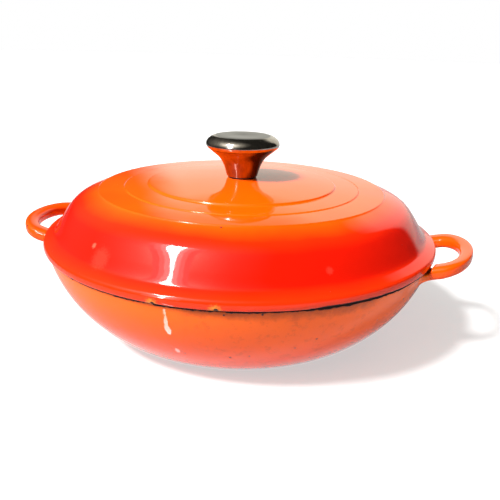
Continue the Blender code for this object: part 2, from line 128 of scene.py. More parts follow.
SKIRT_OUTER_ROUND = 1.4 * MM
SKIRT_INNER_ROUND = 1.0 * MM
SKIRT_INNER_TOP = 1.0 * MM       # above the seam, where the skirt's inner side runs into the dome
SKIRT_GROUND = 2.2 * MM          # the ground face starts this far above the skirt's edge
SKIRT_ROOT = 9.0 * MM            # height where the skirt runs into the flange
STEP_SHIFT = 2.0 * MM            # the steps lie this much further in on the underside
SCREW_HOLE = 3.3 * MM
BOSS_RADIUS = 13.0 * MM          # flat pad under the lid for the washers
BOSS_BOTTOM = 46.0 * MM
BOSS_DRAFT = 2.0 * MM

# Knob
KNOB_FOOT_RADIUS = 12.4 * MM
KNOB_WALL = 1.2 * MM
KNOB_WASHER = 0.7 * MM           # thickness of the washer between the knob and the enamel
KNOB_FOOT = PLATEAU_CENTRE + 2 * GAP + KNOB_WASHER
FOOT_EASE = 0.3 * MM             # the foot's outer edge is turned in by this much
STEM_PULLS = ((15.9 * MM, 67.8 * MM), (20.1 * MM, 68.0 * MM))
KNOB_SEAM = (27.2 * MM, 74.4 * MM)      # where the cap meets the stem shell
SPIGOT_FOOT = 0.4 * MM           # from the seam: where the stem shell turns up inside the cap
SPIGOT_RISE = 2.2 * MM           # how far the stem shell reaches up inside the cap
CAP_OVERHANG = 0.3 * MM          # the cap's lower edge stands this much outside the stem shell
CAP_LIP_RISE = 0.35 * MM         # its edge slopes up this much towards the inside
CAP_PULLS = ((KNOB_RADIUS + 2.2 * MM, 77.2 * MM), (28.8 * MM, 83.3 * MM))
CROWN = (22.0 * MM, KNOB_TOP - 0.4 * MM)    # where the cap's side turns into its top
CROWN_PULLS = ((18.0 * MM, KNOB_TOP + 0.3 * MM), (12.0 * MM, KNOB_TOP - 0.1 * MM))
CAP_CENTRE = KNOB_TOP - 0.7 * MM    # the top is slightly dished

# Resolution
CASTING_SEGMENTS = 288
KNOB_SEGMENTS = 160
WALL_STEPS = 60
ROUND_STEPS = 6
CROWN_STEPS = 30
HANDLE_SECTION = 40
HANDLE_BENDS = 72
ROOT_STEPS = 16
SHARP_ANGLE = math.radians(40)

# Zones of the castings and of the knob's cap: the numbers of their materials
ENAMEL, CREAM, GROUND = 0, 1, 2
POLISHED, BRUSHED = 0, 1

# Colours
ORANGE = (0.95, 0.096, 0.001)
RED = (0.62, 0.0065, 0.001)
LID_COLOURS = (                  # from the seam, 0, to the middle of the lid, 1
    (0.0, (0.74, 0.034, 0.003)),
    (0.16, (0.70, 0.020, 0.001)),
    (0.26, RED),
    (0.60, RED),
    (0.72, (0.72, 0.018, 0.001)),
    (0.80, (0.88, 0.060, 0.001)),
    (0.87, ORANGE),
    (1.0, ORANGE),
)
POT_COLOURS = (                  # from the table, 0, to the seam, 1
    (0.0, (0.80, 0.034, 0.003)),
    (0.35, (0.84, 0.062, 0.004)),
    (0.62, (0.86, 0.100, 0.005)),
    (1.0, (0.90, 0.125, 0.004)),
)
# Painted shade: the handles get a deeper orange than the wall beside them, for the shade they lie in
HANDLE_SHADE_ORANGE = (0.84, 0.070, 0.001)
HANDLE_SHADE_FADE = (POT_RIM_RADIUS + 1.5 * MM, POT_RIM_RADIUS + 6 * MM)   # the radii over which it comes in
CREAM_LIGHT, CREAM_DARK = (0.72, 0.60, 0.42), (0.62, 0.48, 0.30)
IRON, IRON_GRAIN = (0.035, 0.024, 0.018), (0.075, 0.045, 0.03)
BARE_EDGE = (0.72, 0.20, 0.02)
# Black of the specks in the chips, and of the grime with painted shade along the seam
SOOT_AND_SHADE = (0.014, 0.004, 0.002)
LID_SPECK, POT_SPECK = (0.06, 0.008, 0.006), (0.05, 0.010, 0.005)
LIME = (0.95, 0.17, 0.10)        # dried water over red enamel
STAIN, MOTTLE = (0.26, 0.040, 0.004), (0.46, 0.050, 0.004)
CAP_STEEL = (0.48, 0.43, 0.38)
# Painted shade: the stem's steel is darker and redder than the cap's, for the shaded lid it mirrors
SHADED_STEM_STEEL = (0.32, 0.21, 0.18)
BRUSHED_STEEL = (0.25, 0.245, 0.24)
PLATE_DARK, PLATE_LIGHT = (0.42, 0.40, 0.36), (0.58, 0.56, 0.52)
RUBBER_DARK, RUBBER_LIGHT = (0.012, 0.011, 0.010), (0.03, 0.027, 0.024)

# Wear, and grime with painted shade along the seam: a spot on a casting is its azimuth in degrees, its
# radius, and its height above the seam
WATER_MARKS = (                  # spot, size and strength
    ((-122, 141.3 * MM, 22.5 * MM), 2.6 * MM, 0.45),
    ((-117.5, 144.7 * MM, 17.0 * MM), 10.0 * MM, 0.10),
    ((-54, 143.2 * MM, 19.6 * MM), 3.5 * MM, 0.12),
    ((38, 141.0 * MM, 23.0 * MM), 6.0 * MM, 0.18),
)
LID_SPOTS = ((-168, 65.8 * MM, 48.1 * MM), (-84, 115.7 * MM, 41.9 * MM), (-5, 140.6 * MM, 24.1 * MM))
POT_SPOT = (-81, 153.8 * MM, -3.1 * MM)
SPOT_SIZE = 0.9 * MM
LID_CHIPS = ((-98, 5.2 * MM), (-83, 5.4 * MM), (-166, 2.6 * MM), (96, 3.6 * MM))   # azimuth and size
STAIN_AZIMUTH = -66
STAIN_REACH = 75 * MM
STAIN_DEPTH = 17 * MM            # below the seam
STAIN_RAGGED = 16 * MM
STAIN_FADE = 8 * MM
STAIN_FRONT, STAIN_ELSEWHERE = 0.55, 0.12
MOTTLE_STRENGTH = 0.35
GRIME_SHADE_AZIMUTH = -28              # where the grime and painted shade along the seam are thickest
GRIME_SHADE_REACH = 100 * MM
GRIME_SHADE_BLUR = 0.3 * MM
GRIME_SHADE_EDGE = (POT_RIM_RADIUS + 1.2 * MM, POT_RIM_RADIUS + 0.4 * MM)   # none of it lies on the handles
# Grime and painted shade along the seam: noise pattern, raggedness, where the edge starts above the seam,
# and how much further the thickest goes
LID_GRIME_SHADE = ((140, 4, 0.7), 1.8 * MM, -0.5 * MM, 1.6 * MM)
POT_GRIME_SHADE = ((110, 5, 0.75), -4.4 * MM, 1.0 * MM, -0.7 * MM)

# View: the unit is a rim radius, and the angles are in radians
VIEW_UNIT = 0.15467
VIEW_BACK = 3.4 * VIEW_UNIT
VIEW_HEIGHT = 1.0588 * VIEW_UNIT + SEAM_Z
VIEW_PITCH = 0.3216
VIEW_ROLL = 0.0290
VIEW_YAW = 0.01552
VIEW_ROUND = math.radians(12.4)
VIEW_LENS = 47.45

# Table, in metres: the glaze mirrors it only inside these edges
TABLE_LEFT = (-0.55, -0.38)      # x over which its left edge fades in
TABLE_SLANT = 0.2                # how much that edge leans with y
TABLE_FRONT = (-0.75, -0.40)     # y over which its front edge fades in
TABLE_GLOW = (0.10, 0.15, 0.80, 0.20)   # radii over which its glow drops, and from what to what
TABLE_SEEN, TABLE_LIT = (0.45, 0.45, 0.45), (0.58, 0.57, 0.56)
TABLE_IN_GLAZE, BEYOND_TABLE = (0.21, 0.20, 0.20), (0.03, 0.03, 0.03)

# Light: a way is an azimuth and an elevation in degrees
KEY_WAY = (-131, 49)
FILL_WAY = (70, 40)
SIDE_WAY = (175, 38)             # a faint glow at the left
WINDOW_RIGHT = (51, 58)          # azimuths over which the window fades in
WINDOW_LEFT = (114, 109)         # and out again
WINDOW_SLOPE = (75, 100)         # azimuths between which its upper edge comes down
WINDOW_TOP = (0.62, 0.42)        # height of that edge, as the sine of its elevation
WINDOW_GAIN = (52, 74)           # azimuths over which it gains strength
WINDOW_STRENGTH = (0.72, 0.98)
WINDOW_SHARPNESS = 8.0           # of its upper edge
HALO_STRENGTH, HALO_CORE, HALO_CUT = 0.115, 1.02, 0.30
HORIZON = (-0.05, 0.10)          # sines of the elevations over which the halo ends
SIDE_GLOW = (0.6, 1.0, 0.0, 0.15)
ROOM_DIM = 0.03
ROOM_COLOUR = (1.0, 0.98, 0.86, 1.0)
LAMP = (                         # azimuth, elevation, and width as a share of the distance
    (-117, 5, 0.060),
    (-118, 20, 0.045),
    (-119.5, 32, 0.032),
    (-123.5, 40, 0.050),
    (-131.5, 50, 0.120),
    (-137.5, 57, 0.15),
    (-141.5, 62, 0.14),
)
LAMP_HALOS = ((0.0, 36), (0.10, 5.0), (0.20, 2.8), (0.32, 1.6))    # added width, and brightness
LAMP_DISTANCE = 1.6
HALO_SPACING = 0.05
TABLE_GLINTS = (                 # stations of (x, y, width) in millimetres, and brightness
    (((-57, -206, 2), (-52, -194, 3), (-45.5, -181, 3), (-43, -174, 5), (-40, -165, 4), (-36, -157, 8),
      (-33, -150, 3)), 9),
    (((-24, -129, 2), (-23, -126, 5), (-22, -123, 2)), 3),
)


# Curves ------------------------------------------------------------------------------------------

def bezier(start, pull_start, pull_end, end, steps):
    """Points along a cubic curve, the last one left out."""
    points = []
    for i in range(steps):
        t = i / steps
        a, b, c, d = (1 - t) ** 3, 3 * (1 - t) ** 2 * t, 3 * (1 - t) * t ** 2, t ** 3
        points.append(tuple(a * p + b * q + c * r + d * s
                            for p, q, r, s in zip(start, pull_start, pull_end, end)))
    return points


def arc(centre, radius, from_deg, to_deg, steps):
    """Points along a round stretch, both ends included."""
    points = []
    for i in range(steps + 1):
        angle = math.radians(from_deg + (to_deg - from_deg) * i / steps)
        points.append((centre[0] + radius * math.cos(angle), centre[1] + radius * math.sin(angle)))
    return points


def offset(points, distance):
    """The same run of points moved sideways, to the right of the way it runs."""
    moved = []
    for i, point in enumerate(points):
        before, after = points[max(i - 1, 0)], points[min(i + 1, len(points) - 1)]
        along = (after[0] - before[0], after[1] - before[1])
        length = math.hypot(*along)
        moved.append((point[0] + along[1] / length * distance, point[1] - along[0] / length * distance))
    return moved


def zoned(points, zone):
    return [(radius, z, zone) for radius, z in points]


def raised(outline):
    """An outline drawn from the seam, set at its height in the frame."""
    return [(radius, z + SEAM_Z, zone) for radius, z, zone in outline]


# Meshes ------------------------------------------------------------------------------------------

def add_object(name, bm, materials):
    bmesh.ops.recalc_face_normals(bm, faces=bm.faces)
    mesh = bpy.data.meshes.new(name)
    bm.to_mesh(mesh)
    bm.free()
    mesh.shade_smooth()
    mesh.set_sharp_from_angle(angle=SHARP_ANGLE)
    made = bpy.data.objects.new(name, mesh)
    bpy.context.scene.collection.objects.link(made)
    for material in materials:
        made.data.materials.append(material)
    return made


def turned(name, outline, segments, materials):
    """Spins an outline of (radius, height, zone) about Z. A point's zone is the finish of the stretch
    after it. A stretch on the axis is left out, so an outline may start and end there."""
    bm = bmesh.new()
    circle = [2 * math.pi * i / segments for i in range(segments)]
    rings = []
    for radius, z, _zone in outline:
        if radius == 0:
            rings.append([bm.verts.new((0, 0, z))] * segments)
        else:
            rings.append([bm.verts.new((radius * math.cos(angle), radius * math.sin(angle), z))
                          for angle in circle])
    for k, ring in enumerate(rings):
        following = rings[(k + 1) % len(rings)]
        if ring[0] is ring[1] and following[0] is following[1]:
            continue
        for i in range(segments):
            j = (i + 1) % segments
            corners = []
            for vert in (ring[i], ring[j], following[j], following[i]):
                if vert not in corners:
                    corners.append(vert)
            bm.faces.new(corners).material_index = outline[k][2]
    return add_object(name, bm, materials)


def joined(target, tools):
    """Unites the tools with the target into one skin, and removes the tools."""
    for tool in tools:
        modifier = target.modifiers.new(tool.name, "BOOLEAN")
        modifier.operation = "UNION"
        modifier.object = tool
        modifier.solver = "EXACT"
    graph = bpy.context.evaluated_depsgraph_get()
    mesh = bpy.data.meshes.new_from_object(target.evaluated_get(graph))
    target.modifiers.clear()
    mesh.name = target.name
    target.data = mesh
    for tool in tools:
        bpy.data.objects.remove(tool)
    return target


# Pot ---------------------------------------------------------------------------------------------

def pot_wall(steps):
    """The pot's outer side from the foot to just under the rim."""
    foot, top = (FOOT_RADIUS, 0.0), (POT_RIM_RADIUS, SEAM_Z - GAP / 2 - RIM_ROUND)
    return bezier(foot, (foot[0] + WALL_START[0], WALL_START[1]),
                  (top[0] - WALL_END[0], top[1] - WALL_END[1]), top, steps)


POT_WALL_FINE = pot_wall(200)


def pot_radius(z):
    """The outer radius of the pot at a height."""
    for lower, upper in zip(POT_WALL_FINE, POT_WALL_FINE[1:]):
        if lower[1] <= z <= upper[1]:
            share = (z - lower[1]) / (upper[1] - lower[1])
            return lower[0] + (upper[0] - lower[0]) * share
    return POT_RIM_RADIUS


def pot_outline():
    """Half of the pot's section: from the axis under the foot, up the outside, over the rim and in."""
    rim_z = SEAM_Z - GAP / 2
    outside = pot_wall(WALL_STEPS)
    inner_rim = POT_RIM_RADIUS - RIM_WIDTH
    outer_round = arc((POT_RIM_RADIUS - RIM_ROUND, rim_z - RIM_ROUND), RIM_ROUND, 0, 90, ROUND_STEPS)
    inner_round = arc((inner_rim + RIM_ROUND, rim_z - RIM_ROUND), RIM_ROUND, 90, 180, ROUND_STEPS)
    inside = [point for point in offset(outside, -POT_WALL)
              if POT_FLOOR + CORNER_TOP < point[1] < rim_z - THROAT]
    rim_pull, (pull_side, pull_up) = THROAT_PULLS
    throat = bezier((inner_rim, rim_z - RIM_ROUND), (inner_rim, rim_z - rim_pull),
                    (inside[-1][0] + pull_side, inside[-1][1] + pull_up), inside[-1], 10)[1:]
    (pull_in, pull_down), pull_out = CORNER_PULLS
    floor_edge = bezier(inside[0], (inside[0][0] - pull_in, inside[0][1] - pull_down),
                        (FLOOR_FLAT + pull_out, POT_FLOOR), (FLOOR_FLAT, POT_FLOOR), 14)[1:]
    inner_floor = [(radius, POT_FLOOR) for radius in FLOOR_RINGS]
    underside = [(radius, FOOT_RELIEF) for radius in UNDERSIDE_RINGS]
    foot = [(FOOT_INNER_RADIUS - 0.4 * FOOT_RELIEF, FOOT_RELIEF / 4), (FOOT_INNER_RADIUS, 0)]
    return (zoned(underside, ENAMEL) + zoned(foot, GROUND) + zoned(outside, ENAMEL)
            + zoned(outer_round[:3], ENAMEL) + zoned(outer_round[3:] + inner_round[:4], GROUND)
            + zoned(inner_round[4:] + throat + inside[::-1] + floor_edge + inner_floor, CREAM))


def fillet(radius, distance):
    """How much a bar is widened at a distance from the wall that it grows out of."""
    if distance >= radius:
        return 0.0
    reach = radius - max(distance, 0.0)
    return radius - math.sqrt(radius ** 2 - reach ** 2)


def share_of(value, start, end):
    return min(max((value - start) / (end - start), 0.0), 1.0)


def handle_top(distance):
    """Height of a handle's upper face: it steps up outside the lid's rim, then lifts towards the tip."""
    step = share_of(distance, *HANDLE_STEP)
    step = step * step * (3 - 2 * step)
    lift = share_of(distance, HANDLE_STEP[1], HANDLE_TIP - POT_RIM_RADIUS)
    return (SEAM_Z + HANDLE_ROOT_TOP + (HANDLE_STEP_TOP - HANDLE_ROOT_TOP) * step
            + (HANDLE_TIP_TOP - HANDLE_STEP_TOP) * lift)


def handle_bottom(distance):
    """Height of a handle's underside, which rises evenly from the wall to the tip."""
    lift = share_of(distance, 0.0, HANDLE_TIP - POT_RIM_RADIUS)
    return SEAM_Z + HANDLE_ROOT_BOTTOM + (HANDLE_TIP_BOTTOM - HANDLE_ROOT_BOTTOM) * lift


def section_points(count):
    """A rounded bar section as (across, up), each from -1 to 1."""
    power = 2 / HANDLE_SQUARENESS
    points = []
    for i in range(count):
        angle = 2 * math.pi * (i + 0.5) / count
        c, s = math.cos(angle), math.sin(angle)
        points.append((math.copysign(abs(c) ** power, c), math.copysign(abs(s) ** power, s)))
    return points


def handle_ring(inner, outer, section):
    """One section of the loop, between a point on the finger hole and one on the outside, in plan."""
    ring = []
    for across, up in section:
        share = (across + 1) / 2
        x = inner[0] + (outer[0] - inner[0]) * share
        y = inner[1] + (outer[1] - inner[1]) * share
        distance = math.hypot(x, y) - POT_RIM_RADIUS
        top = handle_top(distance)
        bottom = handle_bottom(distance) + HANDLE_HOLE_TILT * (1 - share)
        ring.append((x, y, top - (top - bottom) * (1 - up) / 2))
    return ring


def root_ring(distance, side, section):
    """One section of an arm close to the wall, where fillets widen and deepen it."""
    outward, inward = fillet(OUTER_FILLET, distance), fillet(INNER_FILLET, distance)
    low, high = HANDLE_INNER[1] - inward, HANDLE_OUTER[1] + outward
    ring = []
    for across, up in section:
        share = (across + 1) / 2
        y = side * (low + (high - low) * share)
        top = handle_top(distance)
        bottom = handle_bottom(distance) + HANDLE_HOLE_TILT * (1 - share) - fillet(LOWER_FILLET, distance)
        z = top - (top - bottom) * (1 - up) / 2
        ring.append((math.sqrt(pot_radius(z) ** 2 - y ** 2) + distance, y, z))
    return ring


def handle_rings():
    """The loop's sections from one root, round the tip, to the other root."""
    section = section_points(HANDLE_SECTION)
    root = [-ROOT_DEPTH]
    root += [ROOT_START + ROOT_LENGTH * (i / ROOT_STEPS) ** 1.5 for i in range(ROOT_STEPS + 1)]
    rings = [root_ring(distance, -1, section) for distance in root]
    for i in range(HANDLE_BENDS + 1):
        angle = math.pi * (i / HANDLE_BENDS - 0.5)
        c, s = math.cos(angle), math.sin(angle)
        outer = (HANDLE_OUTER[0] + (HANDLE_TIP - HANDLE_OUTER[0]) * c, HANDLE_OUTER[1] * s)
        inner = (HANDLE_INNER[0] + (HANDLE_HOLE_TIP - HANDLE_INNER[0]) * c, HANDLE_INNER[1] * s)
        rings.append(handle_ring(inner, outer, section))
    rings += [root_ring(distance, 1, section) for distance in reversed(root)]
    return rings


def handle(name, direction):
    bm = bmesh.new()
    loops = [[bm.verts.new((direction * x, y, z)) for x, y, z in ring] for ring in handle_rings()]
    count = len(loops[0])
    for here, there in zip(loops, loops[1:]):
        for i in range(count):
            j = (i + 1) % count
            bm.faces.new((here[i], here[j], there[j], there[i]))
    bm.faces.new(loops[0])
    bm.faces.new(loops[-1])
    return add_object(name, bm, [])


def pot(materials):
    body = turned("pot_casting", pot_outline(), CASTING_SEGMENTS, materials)
    return joined(body, [handle("handle_right", 1), handle("handle_left", -1)])


# Lid ---------------------------------------------------------------------------------------------

def lid_dome():
    """From the rim's bead up the flange, round its crease and over the dome to the outermost step."""
    run = (FLANGE_FOOT[0] - LIP_TOP[0], FLANGE_FOOT[1] - LIP_TOP[1])
    flange = [(LIP_TOP[0] + run[0] * i / 6, LIP_TOP[1] + run[1] * i / 6) for i in range(6)]
    crease = bezier(FLANGE_FOOT, *CREASE_PULLS, FLANGE_TOP, 20)
    dome = bezier(FLANGE_TOP, *DOME_PULLS, SHOULDER, 40)
    return flange + crease + dome


def lid_steps():
    """The raised discs: each has a rounded edge and a gently rising tread, with a hollow at its end."""
    points = [SHOULDER]
    before = None
    for radius, height in STEPS:
        if before:
            foot = radius + STEP_LEAN
            low = before[1] + (before[0] - foot) * TREAD_SLOPE
            points += arc((foot + STEP_HOLLOW, low + STEP_HOLLOW), STEP_HOLLOW, *STEP_HOLLOW_ARC, 6)
        points += arc((radius - STEP_ROUND, height - STEP_ROUND), STEP_ROUND, *STEP_ROUND_ARC, 9)
        before = (radius - STEP_ROUND, height)
    crown, edge = before
    for i in range(1, CROWN_STEPS):
        share = 1 - i / CROWN_STEPS
        points.append((crown * share, PLATEAU_CENTRE - (PLATEAU_CENTRE - edge) * share ** 2))
    return [point for point in points if point[0] > SCREW_HOLE + CROWN_CENTRE]


def lid_outline():
    """Half of the lid's section: from the rim up the outside to the screw hole, and back underneath."""
    seat = GAP / 2
    edge = -SKIRT_DEPTH
    lower = bezier((BEAD_FOOT, seat), *BEAD_LOWER_PULLS, BEAD_SIDE, 12)
    upper = bezier(BEAD_SIDE, *BEAD_UPPER_PULLS, LIP_TOP, 14)
    dome = lid_dome()
    boss = [(SCREW_HOLE, PLATEAU_CENTRE), (SCREW_HOLE, BOSS_BOTTOM), (BOSS_RADIUS, BOSS_BOTTOM),
            (BOSS_RADIUS + BOSS_DRAFT, PLATEAU_CENTRE - LID_WALL)]
    ceiling = [(radius - STEP_SHIFT, height - LID_WALL) for radius, height in reversed(STEPS)]
    under = [point for point in offset(dome, -LID_WALL) if point[1] > SKIRT_ROOT]
    skirt = [(SKIRT_INNER, SKIRT_INNER_TOP), (SKIRT_INNER, edge + SKIRT_INNER_ROUND)]
    skirt += arc((SKIRT_INNER + SKIRT_INNER_ROUND, edge + SKIRT_INNER_ROUND), SKIRT_INNER_ROUND, 190, 270, 5)
    skirt += arc((SKIRT_OUTER - SKIRT_OUTER_ROUND, edge + SKIRT_OUTER_ROUND), SKIRT_OUTER_ROUND, 270, 350, 6)
    landing = [(SKIRT_OUTER, edge + SKIRT_GROUND), (SKIRT_OUTER, seat)]
    return raised(zoned(lower[:2], GROUND) + zoned(lower[2:] + upper + dome + lid_steps(), ENAMEL)
                  + zoned(boss + ceiling + under[::-1] + skirt, CREAM) + zoned(landing, GROUND))


def lid(materials):
    return turned("lid_casting", lid_outline(), CASTING_SEGMENTS, materials)


# Knob --------------------------------------------------------------------------------------------

def knob_stem(materials):
    side = bezier((KNOB_FOOT_RADIUS, KNOB_FOOT), *STEM_PULLS, KNOB_SEAM, 48)
    inside = offset(side, -KNOB_WALL)
    foot = [(KNOB_FOOT_RADIUS - KNOB_WALL, KNOB_FOOT), (KNOB_FOOT_RADIUS - FOOT_EASE, KNOB_FOOT)]
    seam_z = KNOB_SEAM[1]
    outer = KNOB_SEAM[0] - KNOB_WALL - GAP
    inner = outer - KNOB_WALL
    spigot = [(outer, seam_z + SPIGOT_FOOT), (outer, seam_z + SPIGOT_RISE),
              (inner, seam_z + SPIGOT_RISE), (inner, seam_z)]
    outline = zoned(foot + side[1:] + [KNOB_SEAM] + spigot + inside[:0:-1], POLISHED)
    return turned("knob_stem_shell", raised(outline), KNOB_SEGMENTS, materials)


def knob_cap(materials):
    lower = (KNOB_SEAM[0] + CAP_OVERHANG, KNOB_SEAM[1] + GAP)
    side = bezier(lower, *CAP_PULLS, CROWN, 40)
    top = bezier(CROWN, *CROWN_PULLS, (0.0, CAP_CENTRE), 24)
    inside = offset(side + top, -KNOB_WALL)
    lip = (lower[0] - KNOB_WALL, lower[1] + CAP_LIP_RISE)
    outline = (zoned([(0.0, CAP_CENTRE - KNOB_WALL)] + inside[:0:-1] + [lip] + side, POLISHED)
               + zoned(top + [(0.0, CAP_CENTRE)], BRUSHED))
    return turned("knob_cap_shell", raised(outline), KNOB_SEGMENTS, materials)


# Finishes ----------------------------------------------------------------------------------------

class Nodes:
    """A node tree with short ways to add what it needs. The place is what its patterns follow."""

    def __init__(self, tree, coordinates):
        self.tree = tree
        self.place = tree.nodes.new("ShaderNodeTexCoord").outputs[coordinates]

    def plug(self, socket, value):
        if isinstance(value, bpy.types.NodeSocket):
            self.tree.links.new(value, socket)
        else:
            socket.default_value = value

    def node(self, kind, **inputs):
        made = self.tree.nodes.new(kind)
        for name, value in inputs.items():
            self.plug(made.inputs[name], value)
        return made

    def maths(self, operation, *values, clamp=False):
        made = self.tree.nodes.new("ShaderNodeMath")
        made.operation = operation
        made.use_clamp = clamp
        for socket, value in zip(made.inputs, values):
            self.plug(socket, value)
        return made.outputs[0]

    def compared(self, operation, vector):
        """The place's distance from a fixed vector, or its dot product with it."""
        made = self.tree.nodes.new("ShaderNodeVectorMath")
        made.operation = operation
        self.plug(made.inputs[0], self.place)
        made.inputs[1].default_value = vector
        return made.outputs["Value"]

    def axes(self):
        return self.node("ShaderNodeSeparateXYZ", Vector=self.place).outputs

    def radius(self):
        """The distance from the vertical axis."""
        x, y, _z = self.axes()
        squares = self.maths("ADD", self.maths("MULTIPLY", x, x), self.maths("MULTIPLY", y, y))
        return self.maths("SQRT", squares)

    def span(self, value, low, high, to_low=0.0, to_high=1.0):
        """A value read smoothly from low to high."""
        made = self.tree.nodes.new("ShaderNodeMapRange")
        made.interpolation_type = "SMOOTHSTEP"
        for socket, number in zip(made.inputs[:5], (value, low, high, to_low, to_high)):
            self.plug(socket, number)
        return made.outputs[0]

    def mix(self, share, first, second):
        made = self.tree.nodes.new("ShaderNodeMix")
        made.data_type = "RGBA"
        self.plug(made.inputs["Factor"], share)
        for socket, value in ((made.inputs[6], first), (made.inputs[7], second)):
            self.plug(socket, (*value, 1.0) if isinstance(value, tuple) else value)
        return made.outputs[2]


class Finish(Nodes):
    """A material with patterns on it."""

    def __init__(self, name):
        self.material = bpy.data.materials.new(name)
        self.material.use_nodes = True
        super().__init__(self.material.node_tree, "Object")
        self.shader = self.tree.nodes["Principled BSDF"]

    def set(self, **inputs):
        for name, value in inputs.items():
            if isinstance(value, tuple):
                value = (*value, 1.0)
            self.plug(self.shader.inputs[name.replace("_", " ")], value)
        return self

    def noise(self, scale, detail=2.0, roughness=0.5, place=None):
        made = self.node("ShaderNodeTexNoise", Scale=scale, Detail=detail, Roughness=roughness,
                         Vector=place or self.place)
        return made.outputs["Fac"]

    def speckle(self, scale, size):
        """Scattered dots: 1 in a dot, 0 between them."""
        made = self.node("ShaderNodeTexVoronoi", Scale=scale, Randomness=1.0, Vector=self.place)
        return self.span(made.outputs["Distance"], size, 0.6 * size)

    def ramp(self, value, stops):
        made = self.tree.nodes.new("ShaderNodeValToRGB")
        self.plug(made.inputs[0], value)
        elements = made.color_ramp.elements
        while len(elements) < len(stops):
            elements.new(0.5)
        for element, (position, colour) in zip(elements, stops):
            element.position = position
            element.color = (*colour, 1.0)
        return made.outputs["Color"]

    def near(self, point, radius, ragged=0.35):
        """1 at a point on the surface, 0 beyond a radius with a ragged edge."""
        gap = self.compared("DISTANCE", point)
        wander = self.maths("MULTIPLY_ADD", self.noise(900, 2), ragged * radius, gap)
        return self.span(wander, radius * (1 + ragged / 2), 0.8 * radius)

    def bump(self, height, strength, distance, before=None):
        made = self.node("ShaderNodeBump", Height=height, Strength=strength, Distance=distance)
        if before is not None:
            self.plug(made.inputs["Normal"], before)
        return made.outputs["Normal"]


def enamel_relief(finish):
    """The slow swell of a sand casting under its glaze, and a fine orange peel."""
    swell = finish.noise(26, 1.5)
    peel = finish.noise(420, 1.0)
    normal = finish.bump(swell, 0.22, 1.6 * MM)
    return finish.bump(peel, 0.09, 0.10 * MM, normal)


def gloss(finish, dirt=0.0):
    """A shiny glaze, smudged here and there, and matt where there is dirt."""
    smudge = finish.span(finish.noise(35, 4), 0.4, 0.8, 0.035, 0.09)
    return finish.set(Roughness=finish.maths("MAXIMUM", smudge, dirt), Normal=enamel_relief(finish))


def rim_spot(azimuth, radius, height):
    """A point on a casting, from its azimuth in degrees, its radius and its height above the seam."""
    a = math.radians(azimuth)
    return (radius * math.cos(a), radius * math.sin(a), SEAM_Z + height)


def specks(finish, scattered, patches, spots):
    """Dark specks in the glaze, scattered in patches, and single ones at spots of their own."""
    dots = finish.maths("MULTIPLY", finish.speckle(*scattered), patches)
    for spot in spots:
        dots = finish.maths("MAXIMUM", dots, finish.near(rim_spot(*spot), SPOT_SIZE))
    return dots


def chipped(finish, colour, azimuth, size):
    """A chip at the lid's edge: bare yellow-brown with a black speck in it."""
    bare = finish.near(rim_spot(azimuth, LID_RIM_RADIUS - 0.4 * MM, 0.6 * MM), size, 0.9)
    core = finish.near(rim_spot(azimuth + 0.3, LID_RIM_RADIUS - 0.3 * MM, 1.1 * MM), 0.36 * size, 0.5)
    return finish.mix(core, finish.mix(bare, colour, BARE_EDGE), SOOT_AND_SHADE)


def seam_grime_shade(finish, z, rim_radius, pattern, ragged, start, thicker):
    """1 where grime and painted shade cover the glaze beside the seam, with a ragged edge above it or, if
    negative, below.
    """
    thick = finish.near(rim_spot(GRIME_SHADE_AZIMUTH, rim_radius, 0.0), GRIME_SHADE_REACH, 0.1)
    edge = finish.maths("MULTIPLY_ADD", finish.noise(*pattern), ragged, SEAM_Z + start)
    edge = finish.maths("MULTIPLY_ADD", thick, thicker, edge)
    blur = math.copysign(GRIME_SHADE_BLUR, ragged)
    return finish.span(finish.maths("SUBTRACT", z, edge), blur, -blur)


def lid_enamel():
    """Orange on the plateau, flowing into red on the dome's side, with chips at the rim, and grime with
    painted shade along the seam.
    """
    finish = Finish("lid_enamel")
    z = finish.axes()["Z"]
    height = finish.maths("DIVIDE", finish.maths("SUBTRACT", z, SEAM_Z), PLATEAU_CENTRE)
    wander = finish.maths("MULTIPLY_ADD", finish.noise(18, 3), 0.10, finish.maths("SUBTRACT", height, 0.05))
    colour = finish.ramp(wander, LID_COLOURS)
    for spot, size, strength in WATER_MARKS:
        mark = finish.maths("MULTIPLY", finish.near(rim_spot(*spot), size, 0.9), strength)
        colour = finish.mix(mark, colour, LIME)
    for azimuth, size in LID_CHIPS:
        colour = chipped(finish, colour, azimuth, size)
    dots = specks(finish, (95, 0.035), finish.span(finish.noise(12), 0.52, 0.6), LID_SPOTS)
    colour = finish.mix(dots, colour, LID_SPECK)
    # Painted shade: grime along the seam, made darker where the bead's underside lies in shade
    grime_shade = seam_grime_shade(finish, z, LID_RIM_RADIUS, *LID_GRIME_SHADE)
    colour = finish.mix(grime_shade, colour, SOOT_AND_SHADE)
    return gloss(finish.set(Base_Color=colour), finish.maths("MAXIMUM", grime_shade, dots)).material


